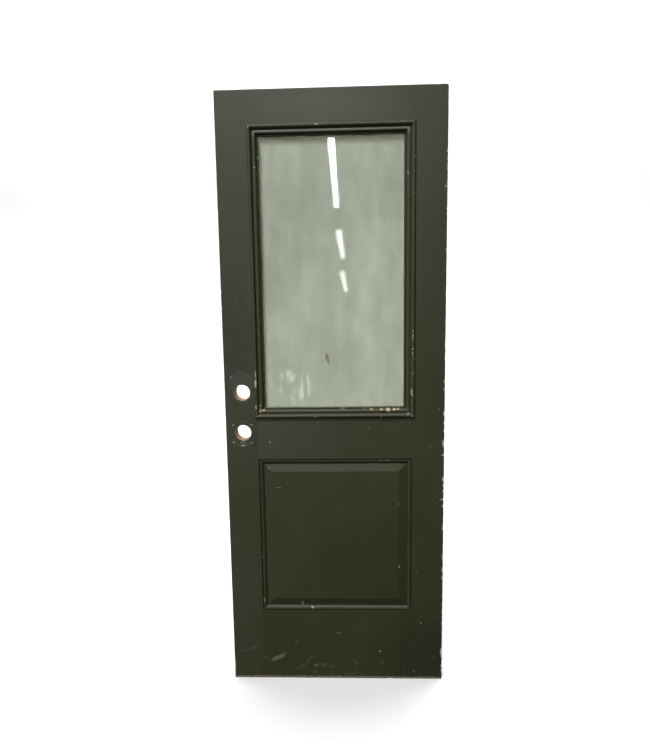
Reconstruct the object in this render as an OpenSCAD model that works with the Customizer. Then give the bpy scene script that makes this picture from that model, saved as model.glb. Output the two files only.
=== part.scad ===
// Half-glazed exterior door leaf in stile-and-rail construction: a sealed glass
// unit over the lock rail, a raised panel below it, mitred mouldings on both faces.
// Millimetres. The origin is the middle of the bottom edge, +Z is up, the street
// face looks towards -Y, the lock edge is at -X and the hinge edge at +X.

/* [Leaf] */
// Width over both stiles
door_w = 749; // [680:1:920]
// Height of the leaf
door_h = 2032; // [1980:1:2150]
// Thickness from face to face
door_t = 44.5; // [42:0.5:52]
// Width of each stile
stile_w = 110; // [100:1:140]
// Height of the top rail
top_rail_h = 116; // [100:1:160]
// Height of the lock rail
lock_rail_h = 152; // [140:1:190]
// Height of the bottom rail
bottom_rail_h = 262; // [200:1:320]
// Chamfer that eases the leaf's outer edges
edge_ease = 1.5; // [0.5:0.1:3]

/* [Lock] */
// Height of the knob bore above the bottom edge
knob_h = 913; // [880:1:960]
// Height of the knob bore above the middle of the lock rail
knob_over_rail = 18; // [10:1:24]
// Distance from the knob bore up to the bolt bore
bolt_over_knob = 139.7; // [120:0.1:160]
// Distance from the lock edge to the bore axes
backset = 60.3; // [58:0.1:70]
// Diameter of the two face bores
face_bore_d = 54; // [50:0.5:57]
// Diameter of the two latch bores in the lock edge
latch_bore_d = 25.4; // [22:0.1:26]
// Width of a latch faceplate's mortise
faceplate_w = 25.6; // [25:0.1:28]
// Height of a latch faceplate's mortise
faceplate_h = 57.2; // [54:0.1:62]
// Depth of a latch faceplate's mortise
faceplate_depth = 3; // [2:0.5:4]
// Distance between a faceplate's two screws
faceplate_screw_gap = 41.3; // [39:0.1:44]

/* [Hinges] */
// Height of a hinge leaf
hinge_h = 101.6; // [88:0.1:115]
// Depth of a hinge gain, the thickness of its leaf
gain_depth = 3; // [2:0.5:4]
// Wood left between a gain and the street face
gain_margin = 6; // [4:0.5:10]
// Distance from the top edge down to the top hinge
top_hinge_drop = 178; // [150:1:220]
// Distance from the bottom edge up to the bottom hinge
bottom_hinge_lift = 279; // [200:1:320]
// Distance between the outer pair of screws in a hinge leaf
outer_screw_gap = 76; // [70:1:80]
// Distance between the inner pair of screws in a hinge leaf
inner_screw_gap = 30; // [20:1:40]
// Distance from a gain's inner wall to the outer pair's row
outer_row = 10; // [8:0.5:14]
// Distance from a gain's inner wall to the inner pair's row
inner_row = 23; // [20:0.5:28]

/* [Screw pilots] */
// Diameter of the screw pilots
pilot_d = 3.6; // [2.5:0.1:4.5]
// Depth of the screw pilots
pilot_depth = 25; // [15:1:35]

/* [Glass unit] */
// Thickness of each pane
pane_t = 3.2; // [3:0.1:5]
// Width of the gas space between the panes
pane_gap = 9.6; // [8:0.1:12]
// Space between the unit's edge and the opening
unit_clearance = 4; // [3:0.5:6]
// Width of the spacer bar, seen from the front
spacer_w = 7.5; // [6:0.5:9]
// Width of the sealant outside the spacer bar
sealant_w = 5; // [4:0.5:6]
// Thickness of the glazing tape
tape_t = 1; // [0.8:0.1:2]
// Width of the glazing tape
tape_w = 12; // [8:0.5:15]
// Length of each setting block
block_l = 100; // [60:1:120]

/* [Glazing moulding] */
// Distance from the opening's edge in to the sight line on the street face
sight_w = 28.5; // [26:0.5:32]
// The same distance on the room face, less so that its moulding can't be seen through the glass
room_sight_w = 22; // [22:0.5:28]
// Distance that the lip laps over the face
lip_lap = 7; // [5:0.5:10]
// Height of the torus above the face
torus_rise = 9; // [8:0.5:11]
// Radius of the torus
torus_r = 6.25; // [5:0.25:7]
// Radius of the cove inside the torus
cove_r = 4; // [3:0.25:5]
// Height of the ovolo above the face
ovolo_rise = 2.5; // [1:0.5:4]
// Radius of the ovolo
ovolo_r = 7.5; // [6:0.25:7.5]
// Depth of the bead's top below the face
bead_drop = 6.5; // [5:0.5:8]
// Radius of the bead beside the glass
bead_r = 3; // [2:0.25:3]
// Width of the quirk between the ovolo and the bead
bead_quirk = 0.5; // [0.3:0.1:0.5]

/* [Raised panel] */
// Distance from the opening's edge in to the raised field
field_inset = 45.5; // [38:0.5:55]
// Depth of the field below the face
field_drop = 0.5; // [0:0.25:3]
// Thickness of the panel's tongue
tongue_t = 18; // [14:0.5:22]
// Depth of the groove that holds the tongue
groove_depth = 10; // [8:0.5:14]
// Room for the panel to swell at the bottom of the groove
swell_room = 2; // [1:0.5:4]

/* [Panel moulding] */
// Width of the panel moulding
panel_moulding_w = 17; // [15:0.5:20]
// Width of the quirk beside the frame
panel_quirk_w = 4.5; // [3:0.5:6]
// Depth of the quirk below the face
panel_quirk_depth = 6; // [4:0.5:8]
// Radius of the ovolo
panel_ovolo_r = 12; // [11:0.25:14]
// Depth of the ovolo's top below the face
panel_ovolo_drop = 1; // [0.5:0.25:2]

/* [Joints and nails] */
// Diameter of a dowel
dowel_d = 12.7; // [10:0.1:14]
// Length of a dowel
dowel_l = 100; // [60:1:120]
// Wood between a dowel and the edge or groove beside it
dowel_margin = 10; // [8:0.5:14]
// Diameter of a brad
brad_d = 1.3; // [1:0.1:1.8]
// Length of a brad
brad_l = 30; // [25:1:32]
// Length of a brad inside its moulding
brad_hold = 12; // [10:0.5:13]
// Greatest distance between brads
brad_pitch = 200; // [120:1:300]
// Depth of the glazing moulding's brads below the face
glazing_brad_depth = 8.5; // [7.5:0.25:10]
// Depth of the panel moulding's brads below the face
panel_brad_depth = 8; // [7.5:0.25:8.5]

/* [Fits] */
// Gap between a moulding and the frame beside it
moulding_gap = 0.3; // [0.1:0.1:0.6]
// Gap on each side of the panel's tongue
tongue_gap = 0.2; // [0.1:0.1:0.4]
// Gap round a dowel
dowel_gap = 0.1; // [0.05:0.05:0.3]
// Room at each end of a dowel for glue
dowel_end_gap = 2; // [1:0.5:4]
// Gap round a brad
brad_gap = 0.05; // [0.05:0.05:0.2]

/* [Hidden] */
$fn = 64;
paint = [0.21, 0.23, 0.17];
bare_wood = [0.72, 0.55, 0.36];
glass = [0.80, 0.88, 0.84, 0.35];
metal = [0.72, 0.73, 0.74];
black_rubber = [0.10, 0.10, 0.10];
overcut = 1;

FACES = ["front", "back"];
SIDES = ["bottom", "hinge_side", "top", "lock_side"];
function moulding_name(kind, face, side) = str(kind, "_moulding_", face, "_", side);
FRAME_NODES = ["lock_stile", "hinge_stile", "top_rail", "lock_rail", "bottom_rail", "joint_dowels"];
GLASS_NODES = ["front_pane", "back_pane", "pane_spacer", "edge_sealant", "setting_blocks"];
TAPE_NODES = ["front_glazing_tape", "back_glazing_tape"];

// The two openings in the frame
half_t = door_t / 2;
opening_w = door_w - 2 * stile_w;
lock_rail_mid = knob_h - knob_over_rail;
lock_rail_low = lock_rail_mid - lock_rail_h / 2;
lock_rail_high = lock_rail_mid + lock_rail_h / 2;
top_rail_low = door_h - top_rail_h;
panel_open_h = lock_rail_low - bottom_rail_h;
panel_mid = bottom_rail_h + panel_open_h / 2;
light_open_h = top_rail_low - lock_rail_high;
light_mid = lock_rail_high + light_open_h / 2;

// Lock and hinge places
bore_x = backset - door_w / 2;
bore_heights = [knob_h, knob_h + bolt_over_knob];
top_hinge_mid = door_h - top_hinge_drop - hinge_h / 2;
bottom_hinge_mid = bottom_hinge_lift + hinge_h / 2;
hinge_mids = [bottom_hinge_mid, (bottom_hinge_mid + top_hinge_mid) / 2, top_hinge_mid];
gain_w = door_t - gain_margin;
gain_wall_y = gain_margin - half_t;

// The sealed unit
unit_t = 2 * pane_t + pane_gap;
unit_w = opening_w - 2 * unit_clearance;
unit_h = light_open_h - 2 * unit_clearance;

// The glazing moulding's section, measured in from the opening and out from the face
moulding_depth = half_t - unit_t / 2 - tape_t;
torus_u = torus_r - lip_lap;
torus_v = torus_rise - torus_r;
torus_end = torus_u + torus_r;
ovolo_v = ovolo_rise - ovolo_r;
bead_v = -bead_drop - bead_r;
function face_sight(face) = face == "front" ? sight_w : room_sight_w;

// The raised panel's hip and the moulding that covers its edge
tongue_half = tongue_t / 2;
field_half = half_t - field_drop;
tongue_reach = groove_depth - swell_room;
hip_slope = (field_half - tongue_half) / field_inset;
hip_v = tongue_half - half_t + tongue_gap;
panel_moulding_foot = hip_v + panel_moulding_w * hip_slope;
panel_ovolo_v = -panel_ovolo_drop - panel_ovolo_r;
panel_ovolo_u = panel_moulding_w - sqrt(panel_ovolo_r ^ 2 - (panel_moulding_foot - panel_ovolo_v) ^ 2);

// The dowels of each rail: lowest and highest height, and how many
dowel_edge = dowel_margin + dowel_d / 2;
dowel_rows = [
    [dowel_edge, bottom_rail_h - groove_depth - dowel_edge, 3],
    [lock_rail_low + groove_depth + dowel_edge, lock_rail_high - dowel_edge, 2],
    [top_rail_low + dowel_edge, door_h - dowel_edge, 2]
];
dowel_heights = [for (row = dowel_rows, i = [0 : row[2] - 1]) row[0] + (row[1] - row[0]) * i / (row[2] - 1)];

function is_level(side) = side == "bottom" || side == "top";
function side_length(w, h, side) = is_level(side) ? w : h;
function side_distance(w, h, side) = (is_level(side) ? h : w) / 2;
function side_turn(face, side) = 90 * search([side], SIDES)[0] * (face == "front" ? 1 : -1);
function brad_count(s) = max(2, ceil(s / brad_pitch));
function brad_places(s) = [for (i = [1 : brad_count(s)]) s * ((i - 0.5) / brad_count(s) - 0.5)];

// Turns a drawing of the street face (x right, y up, z out) to either face of the leaf
module on_face(face, mid_z) {
    rotate([0, 0, face == "front" ? 0 : 180])
        translate([0, -half_t, mid_z])
            rotate([90, 0, 0])
                children();
}

// Puts a bar on one side of an opening; seen on the back face, lock and hinge side change places
module on_side(face, side, w, h) {
    rotate([0, 0, side_turn(face, side)])
        translate([0, -side_distance(w, h, side), 0])
            children();
}

// A bar along X with its section drawn inwards and outwards, mitred at both ends
module mitred_bar(s, outside, inside, section_h) {
    intersection() {
        rotate([90, 0, 90])
            linear_extrude(height = s + 2 * outside, center = true)
                children();
        linear_extrude(height = 2 * section_h, center = true)
            polygon([
                [-s / 2 - outside, -outside], [s / 2 + outside, -outside],
                [s / 2 - inside, inside], [inside - s / 2, inside]
            ]);
    }
}

// Rounds that stand on a flat base, for the sections
module half_disc(r) {
    intersection() {
        circle(r = r);
        translate([-r, 0]) square([2 * r, r]);
    }
}

// A rectangular ring in the plane of the leaf, with its middle at the glass
module glass_ring(outer_inset, ring_w, t) {
    translate([0, 0, light_mid])
        rotate([90, 0, 0])
            linear_extrude(height = t, center = true)
                difference() {
                    square([opening_w - 2 * outer_inset, light_open_h - 2 * outer_inset], center = true);
                    square([
                        opening_w - 2 * (outer_inset + ring_w), light_open_h - 2 * (outer_inset + ring_w)
                    ], center = true);
                }
}

// An outline with its four corners cut off
module eased_rectangle(w, h) {
    x = w / 2;
    y = h / 2;
    polygon([
        [edge_ease - x, -y], [x - edge_ease, -y], [x, edge_ease - y], [x, y - edge_ease],
        [x - edge_ease, y], [edge_ease - x, y], [-x, y - edge_ease], [-x, edge_ease - y]
    ]);
}

// The leaf as one block with eased edges, from which every frame piece is cut
module leaf_block() {
    intersection() {
        linear_extrude(height = door_h) eased_rectangle(door_w, door_t);
        translate([0, 0, door_h / 2])
            rotate([90, 0, 90])
                linear_extrude(height = door_w, center = true) eased_rectangle(door_t, door_h);
    }
}

// The ploughed groove round the panel opening
module panel_groove() {
    translate([0, 0, panel_mid])
        cube([
            opening_w + 2 * groove_depth, tongue_t + 2 * tongue_gap, panel_open_h + 2 * groove_depth
        ], center = true);
}

// Dowels, or their holes with room all round
module dowels(x, gap, end_gap) {
    for (z = dowel_heights)
        translate([x, 0, z])
            rotate([0, 90, 0])
                cylinder(d = dowel_d + 2 * gap, h = dowel_l + 2 * end_gap, center = true);
}

module dowel_holes() {
    for (x = [-opening_w / 2, opening_w / 2]) dowels(x, dowel_gap, dowel_end_gap);
}

// Brads through one moulding into the frame, or their holes with room all round
module side_brads(face, side, mid_z, h, depth, gap) {
    on_face(face, mid_z)
        on_side(face, side, opening_w, h)
            for (x = brad_places(side_length(opening_w, h, side)))
                translate([x, brad_hold + gap, -depth])
                    rotate([90, 0, 0])
                        cylinder(d = brad_d + 2 * gap, h = brad_l + 2 * gap);
}

module glazing_side_brads(face, side, gap) {
    side_brads(face, side, light_mid, light_open_h, glazing_brad_depth, gap);
}

module panel_side_brads(face, side, gap) {
    side_brads(face, side, panel_mid, panel_open_h, panel_brad_depth, gap);
}

// The part of a frame piece's nail holes that comes from the glazing or the panel mouldings
module glazing_nail_holes(side) {
    for (face = FACES) glazing_side_brads(face, side, brad_gap);
}

module panel_nail_holes(side) {
    for (face = FACES) panel_side_brads(face, side, brad_gap);
}

// A screw pilot along X, from the leaf's edge inwards
module pilot(edge_x, inwards, y, z, floor_depth) {
    translate([edge_x, y, z])
        rotate([0, 90 * inwards, 0])
            cylinder(d = pilot_d, h = floor_depth + pilot_depth);
}

// Bores, faceplate mortise and pilots of one lock at height z
module lock_cut(z) {
    edge_x = -door_w / 2;
    translate([bore_x, 0, z])
        rotate([90, 0, 0])
            cylinder(d = face_bore_d, h = door_t + 2 * overcut, center = true);
    translate([edge_x - overcut, 0, z])
        rotate([0, 90, 0])
            cylinder(d = latch_bore_d, h = backset + overcut);
    translate([edge_x, 0, z])
        cube([2 * faceplate_depth, faceplate_w, faceplate_h], center = true);
    for (up = [-1, 1]) pilot(edge_x, 1, 0, z + up * faceplate_screw_gap / 2, faceplate_depth);
}

// Gain and staggered pilots of one hinge at height z, open to the room face
module hinge_cut(z) {
    edge_x = door_w / 2;
    translate([edge_x - gain_depth, gain_wall_y, z - hinge_h / 2])
        cube([gain_depth + overcut, gain_w + overcut, hinge_h]);
    for (up = [-1, 1]) {
        pilot(edge_x, -1, gain_wall_y + outer_row, z + up * outer_screw_gap / 2, gain_depth);
        pilot(edge_x, -1, gain_wall_y + inner_row, z + up * inner_screw_gap / 2, gain_depth);
    }
}

// A block of the leaf between two places on X and on Z
module leaf_piece(x_low, x_high, z_low, z_high) {
    intersection() {
        leaf_block();
        translate([x_low, -door_t, z_low]) cube([x_high - x_low, 2 * door_t, z_high - z_low]);
    }
}

module lock_stile() {
    color(paint)
        difference() {
            leaf_piece(-door_w / 2, -opening_w / 2, 0, door_h);
            panel_groove();
            dowel_holes();
            glazing_nail_holes("lock_side");
            panel_nail_holes("lock_side");
            for (z = bore_heights) lock_cut(z);
        }
}

module hinge_stile() {
    color(paint)
        difference() {
            leaf_piece(opening_w / 2, door_w / 2, 0, door_h);
            panel_groove();
            dowel_holes();
            glazing_nail_holes("hinge_side");
            panel_nail_holes("hinge_side");
            for (z = hinge_mids) hinge_cut(z);
        }
}

module top_rail() {
    color(paint)
        difference() {
            leaf_piece(-opening_w / 2, opening_w / 2, top_rail_low, door_h);
            dowel_holes();
            glazing_nail_holes("top");
        }
}

module lock_rail() {
    color(paint)
        difference() {
            leaf_piece(-opening_w / 2, opening_w / 2, lock_rail_low, lock_rail_high);
            panel_groove();
            dowel_holes();
            glazing_nail_holes("bottom");
            panel_nail_holes("top");
        }
}

module bottom_rail() {
    color(paint)
        difference() {
            leaf_piece(-opening_w / 2, opening_w / 2, 0, bottom_rail_h);
            panel_groove();
            dowel_holes();
            panel_nail_holes("bottom");
        }
}

module joint_dowels() {
    color(bare_wood)
        for (x = [-opening_w / 2, opening_w / 2]) dowels(x, 0, 0);
}

// The panel's section over an opening of width s: tongue, hip and raised field on both faces
module raised_outline(s) {
    edge = s / 2 + tongue_reach;
    foot = s / 2;
    crest = s / 2 - field_inset;
    polygon([
        [-edge, -tongue_half], [-foot, -tongue_half], [-crest, -field_half], [crest, -field_half],
        [foot, -tongue_half], [edge, -tongue_half], [edge, tongue_half], [foot, tongue_half],
        [crest, field_half], [-crest, field_half], [-foot, tongue_half], [-edge, tongue_half]
    ]);
}

// Two crossing sections meet in the mitred hips of the raised field
module raised_panel() {
    color(paint)
        translate([0, 0, panel_mid])
            intersection() {
                linear_extrude(height = 2 * panel_open_h, center = true) raised_outline(opening_w);
                rotate([90, 0, 90])
                    linear_extrude(height = 2 * opening_w, center = true)
                        rotate([0, 0, 90]) raised_outline(panel_open_h);
            }
}

module pane(y) {
    color(glass)
        translate([0, y, light_mid]) cube([unit_w, pane_t, unit_h], center = true);
}

module front_pane() {
    pane(-(pane_gap + pane_t) / 2);
}

module back_pane() {
    pane((pane_gap + pane_t) / 2);
}

module pane_spacer() {
    color(metal) glass_ring(unit_clearance + sealant_w, spacer_w, pane_gap);
}

module edge_sealant() {
    color(black_rubber) glass_ring(unit_clearance, sealant_w, pane_gap);
}

module setting_blocks() {
    color(black_rubber)
        for (x = [-unit_w / 4, unit_w / 4])
            translate([x - block_l / 2, -unit_t / 2, lock_rail_high]) cube([block_l, unit_t, unit_clearance]);
}

module glazing_tape(face) {
    tape_y = (unit_t + tape_t) / 2 * (face == "front" ? -1 : 1);
    color(black_rubber)
        translate([0, tape_y, 0]) glass_ring(unit_clearance, tape_w, tape_t);
}

module front_glazing_tape() {
    glazing_tape("front");
}

module back_glazing_tape() {
    glazing_tape("back");
}

// Lip, torus, cove, ovolo and bead of the glazing moulding, out to a sight line
module glazing_section(sight) {
    ovolo_end = sight - 2 * bead_r - bead_quirk;
    translate([-lip_lap, 0]) square([2 * torus_r, torus_v]);
    translate([torus_u, torus_v]) half_disc(torus_r);
    difference() {
        translate([moulding_gap, ovolo_v]) square([torus_end + cove_r - moulding_gap, torus_v - ovolo_v]);
        translate([torus_end + cove_r, torus_v]) circle(r = cove_r);
    }
    translate([ovolo_end - ovolo_r, ovolo_v]) half_disc(ovolo_r);
    translate([moulding_gap, -moulding_depth]) square([ovolo_end - moulding_gap, moulding_depth + ovolo_v]);
    translate([moulding_gap, -moulding_depth]) square([sight - moulding_gap, moulding_depth + bead_v]);
    translate([sight - bead_r, bead_v]) half_disc(bead_r);
}

module glazing_moulding(face, side) {
    color(paint)
        difference() {
            on_face(face, light_mid)
                on_side(face, side, opening_w, light_open_h)
                    mitred_bar(side_length(opening_w, light_open_h, side), lip_lap, face_sight(face), half_t)
                        glazing_section(face_sight(face));
            glazing_side_brads(face, side, brad_gap);
        }
}

// Quirk and ovolo of the panel moulding, with its back cut to the slope of the panel's hip
module panel_section() {
    difference() {
        union() {
            translate([moulding_gap, -half_t])
                square([panel_quirk_w - moulding_gap, half_t - panel_quirk_depth]);
            intersection() {
                translate([panel_ovolo_u, panel_ovolo_v]) circle(r = panel_ovolo_r);
                translate([panel_quirk_w, -half_t]) square([panel_moulding_w - panel_quirk_w, half_t]);
            }
        }
        polygon([
            [0, -door_t], [panel_moulding_w, -door_t], [panel_moulding_w, panel_moulding_foot], [0, hip_v]
        ]);
    }
}

module panel_moulding(face, side) {
    color(paint)
        difference() {
            on_face(face, panel_mid)
                on_side(face, side, opening_w, panel_open_h)
                    mitred_bar(side_length(opening_w, panel_open_h, side), 0, panel_moulding_w, half_t)
                        panel_section();
            panel_side_brads(face, side, brad_gap);
        }
}

module glazing_brads() {
    color(metal)
        for (face = FACES, side = SIDES) glazing_side_brads(face, side, 0);
}

module panel_brads() {
    color(metal)
        for (face = FACES, side = SIDES) panel_side_brads(face, side, 0);
}

lock_stile();
hinge_stile();
top_rail();
lock_rail();
bottom_rail();
joint_dowels();
raised_panel();
front_pane();
back_pane();
pane_spacer();
edge_sealant();
setting_blocks();
front_glazing_tape();
back_glazing_tape();
glazing_brads();
panel_brads();
for (face = FACES, side = SIDES) {
    glazing_moulding(face, side);
    panel_moulding(face, side);
}
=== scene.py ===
# %% [markdown]
# # A worn, half-glazed exterior door
# The packed model brings every rigid piece of the leaf at its real size: stiles, rails, raised panel,
# glass unit and mouldings. This script only dresses it. We load it first, because all later pieces and
# masks are measured from it, and keep its box.

# %% Load the leaf
import math

import bmesh
import bpy
from mathutils import Euler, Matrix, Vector, noise


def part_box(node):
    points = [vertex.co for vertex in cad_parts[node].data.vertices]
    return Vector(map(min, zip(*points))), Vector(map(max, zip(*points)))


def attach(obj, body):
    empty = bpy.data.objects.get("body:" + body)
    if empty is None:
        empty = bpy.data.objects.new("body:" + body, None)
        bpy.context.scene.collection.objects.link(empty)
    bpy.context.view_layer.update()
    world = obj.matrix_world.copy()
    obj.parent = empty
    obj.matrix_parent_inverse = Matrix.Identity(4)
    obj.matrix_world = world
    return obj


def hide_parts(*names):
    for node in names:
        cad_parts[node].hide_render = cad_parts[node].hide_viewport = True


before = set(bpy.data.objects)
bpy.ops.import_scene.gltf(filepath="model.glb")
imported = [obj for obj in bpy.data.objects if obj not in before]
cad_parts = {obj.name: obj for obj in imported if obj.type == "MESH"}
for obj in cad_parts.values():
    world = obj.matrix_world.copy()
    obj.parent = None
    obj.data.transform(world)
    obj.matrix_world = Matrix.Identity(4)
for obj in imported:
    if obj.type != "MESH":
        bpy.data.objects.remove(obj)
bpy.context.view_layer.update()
leaf_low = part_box("lock_stile")[0]
leaf_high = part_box("hinge_stile")[1]
HALF_WIDTH = leaf_high.x
HALF_THICK = leaf_high.y
LEAF_TOP = leaf_high.z
print("leaf in mm", [round(1000 * v, 1) for v in leaf_high - leaf_low])

# %% [markdown]
# ## Camera
# A photograph of a flat rectangle is enough to place a camera: its four corners fix the lens, the
# distance and the three angles. Here that gave a wide lens held 1.3 metres high, less than two metres
# from the leaf and tipped down by seven degrees, which is why the leaf narrows towards its foot.

# %% Place the camera
IMAGE_W = 650
IMAGE_H = 750
LENS_PIXELS = 532.7
CAMERA_PLACE = Vector((0.0305, -1.8100, 1.3309))
CAMERA_TURN = Euler((math.radians(82.988), math.radians(0.850), math.radians(1.8345)))
SENSOR_MM = 36.0

scene = bpy.context.scene
camera_data = bpy.data.cameras.new("photo_camera")
camera_data.sensor_width = SENSOR_MM
camera_data.lens = SENSOR_MM * LENS_PIXELS / max(IMAGE_W, IMAGE_H)
camera = bpy.data.objects.new("photo_camera", camera_data)
camera.location = CAMERA_PLACE
camera.rotation_euler = CAMERA_TURN
scene.collection.objects.link(camera)
scene.camera = camera
print("lens in mm", round(camera_data.lens, 2))

# %% [markdown]
# ## Floor and backdrop
# A studio sweep is a floor that curves up into a wall, so that no line shows behind the object. We
# extrude one edge of the floor upwards and bevel the fold. The sweep is only scenery: it may be seen,
# also through the glass, but it throws no light back, because a white floor would fill the dark
# undersides of the mouldings.

# %% Make the sweep
SWEEP_WIDTH = 16.0
SWEEP_FRONT = -7.0
SWEEP_BACK = 3.2
SWEEP_HEIGHT = 7.0
SWEEP_CURVE = 2.4
CURVE_FACETS = 24
FOLD_REACH = 0.01


def object_from(bm, name):
    mesh = bpy.data.meshes.new(name)
    bm.to_mesh(mesh)
    bm.free()
    piece = bpy.data.objects.new(name, mesh)
    scene.collection.objects.link(piece)
    return piece


def on_fold(v):
    return v.co.y > SWEEP_BACK - FOLD_REACH and v.co.z < FOLD_REACH


def back_edges(bm):
    return [e for e in bm.edges if all(on_fold(v) for v in e.verts)]


bm = bmesh.new()
bmesh.ops.create_grid(bm, x_segments=1, y_segments=1, size=1.0)
bmesh.ops.scale(bm, verts=bm.verts, vec=(SWEEP_WIDTH / 2, (SWEEP_BACK - SWEEP_FRONT) / 2, 1))
bmesh.ops.translate(bm, verts=bm.verts, vec=(0, (SWEEP_BACK + SWEEP_FRONT) / 2, 0))
wall = bmesh.ops.extrude_edge_only(bm, edges=back_edges(bm))["geom"]
lifted = [v for v in wall if isinstance(v, bmesh.types.BMVert)]
bmesh.ops.translate(bm, verts=lifted, vec=(0, 0, SWEEP_HEIGHT))
fold = back_edges(bm)
bmesh.ops.bevel(
    bm, geom=fold, offset=SWEEP_CURVE, affect="EDGES", segments=CURVE_FACETS, profile=0.5, material=-1
)
for face in bm.faces:
    face.smooth = True
sweep = object_from(bm, "sweep")
sweep.visible_diffuse = False
sweep.visible_glossy = False
print("sweep faces", len(sweep.data.polygons))

# %% [markdown]
# ## Light
# The leaf is lit from high up and from the left: the undersides of the mouldings are nearly black, and
# the upper rail has a grey sheen that fades out downwards. A sun gives the hard part, a large lamp
# overhead the sheen, and a weak lamp at the left the light of a window. Two more lamps light the room
# side and whiten the backdrop.

# %% Set the lamps
scene.view_settings.view_transform = "Standard"
SUN_STRENGTH = 2.0
SUN_SPREAD = math.radians(9)


def add_lamp(name, kind, place, target):
    lamp = bpy.data.objects.new(name, bpy.data.lights.new(name, kind))
    lamp.location = place
    lamp.rotation_euler = (Vector(target) - Vector(place)).to_track_quat("-Z", "Y").to_euler()
    scene.collection.objects.link(lamp)
    return lamp


def area_lamp(name, place, target, size, watts):
    lamp = add_lamp(name, "AREA", place, target)
    lamp.data.shape = "RECTANGLE"
    lamp.data.size, lamp.data.size_y = size
    lamp.data.energy = watts
    return lamp


sun = add_lamp("high_sun", "SUN", place=(-1.5, -2.2, 4.9), target=(0, 0, 1.2))
sun.data.energy = SUN_STRENGTH
sun.data.angle = SUN_SPREAD
area_lamp("ceiling", place=(-0.35, -2.9, 3.5), target=(-0.35, -2.9, 0), size=(1.9, 4.0), watts=54)
area_lamp("left_window", place=(-1.5, -3.2, 0.6), target=(-0.3, 0, 0.6), size=(0.9, 1.1), watts=7)
area_lamp("back_fill", place=(2.0, 2.6, 2.4), target=(0, 0, 1.0), size=(1.2, 1.8), watts=30)
area_lamp("wall_wash", place=(0, 1.6, 5.5), target=(0, 2.8, 0.5), size=(9.0, 1.5), watts=420)

# %% [markdown]
# ### Strips
# The bright lines that stand in the glass are long lamps under a ceiling, seen in a mirror. A mirror
# shows a lamp as far behind the glass as it hangs before it, so the two ends of each line can be
# followed back from the camera to a place at one assumed height. Each strip is an area lamp between its
# two ends.

# %% Hang the strips
STRIP_HEIGHT = 2.4
for name, near_end, far_end, width, glow in (
    ("near_strip", (-0.028, -1.71), (-0.018, -3.99), 0.042, 130),
    ("middle_strip", (-0.008, -5.63), (0.059, -9.63), 0.075, 40),
    ("far_strip", (0.037, -13.5), (0.281, -32.0), 0.15, 30),
):
    run = Vector(near_end) - Vector(far_end)
    middle = (Vector(near_end) + Vector(far_end)) / 2
    strip = area_lamp(
        name, (*middle, STRIP_HEIGHT), (*middle, 0), (width, run.length), glow * width * run.length
    )
    strip.rotation_euler = (0, 0, -math.atan2(run.x, run.y))
    print(name, "length in m", round(run.length, 2))

# %% [markdown]
# ### Air
# The world is white where the camera looks at it, straight or through the glass, and nearly black for
# all other rays. So the background is pale, and the undersides of the mouldings still stay dark.

# %% Fill the air
SEEN_STRENGTH = 0.9
FILL_STRENGTH = 0.02
world = bpy.data.worlds.new("studio")
world.use_nodes = True
world_tree = world.node_tree
path = world_tree.nodes.new("ShaderNodeLightPath")
seen = world_tree.nodes.new("ShaderNodeMath")
seen.operation = "MAXIMUM"
world_tree.links.new(path.outputs["Is Camera Ray"], seen.inputs[0])
world_tree.links.new(path.outputs["Is Transmission Ray"], seen.inputs[1])
strength = world_tree.nodes.new("ShaderNodeMapRange")
strength.inputs["To Min"].default_value = FILL_STRENGTH
strength.inputs["To Max"].default_value = SEEN_STRENGTH
world_tree.links.new(seen.outputs[0], strength.inputs["Value"])
background = world_tree.nodes["Background"]
background.inputs["Color"].default_value = (1, 1, 1, 1)
world_tree.links.new(strength.outputs["Result"], background.inputs["Strength"])
scene.world = world
print("strength of the world", FILL_STRENGTH, "and where it is seen", SEEN_STRENGTH)

# %% [markdown]
# ## A short way to write finishes
# Every finish here is a tree of shader nodes that asks one question: where on the leaf am I? Object
# coordinates answer it in metres, because each piece has its place in its mesh. The small class below
# keeps the tree, the shader and that place together, so that a mask takes one line.

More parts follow.
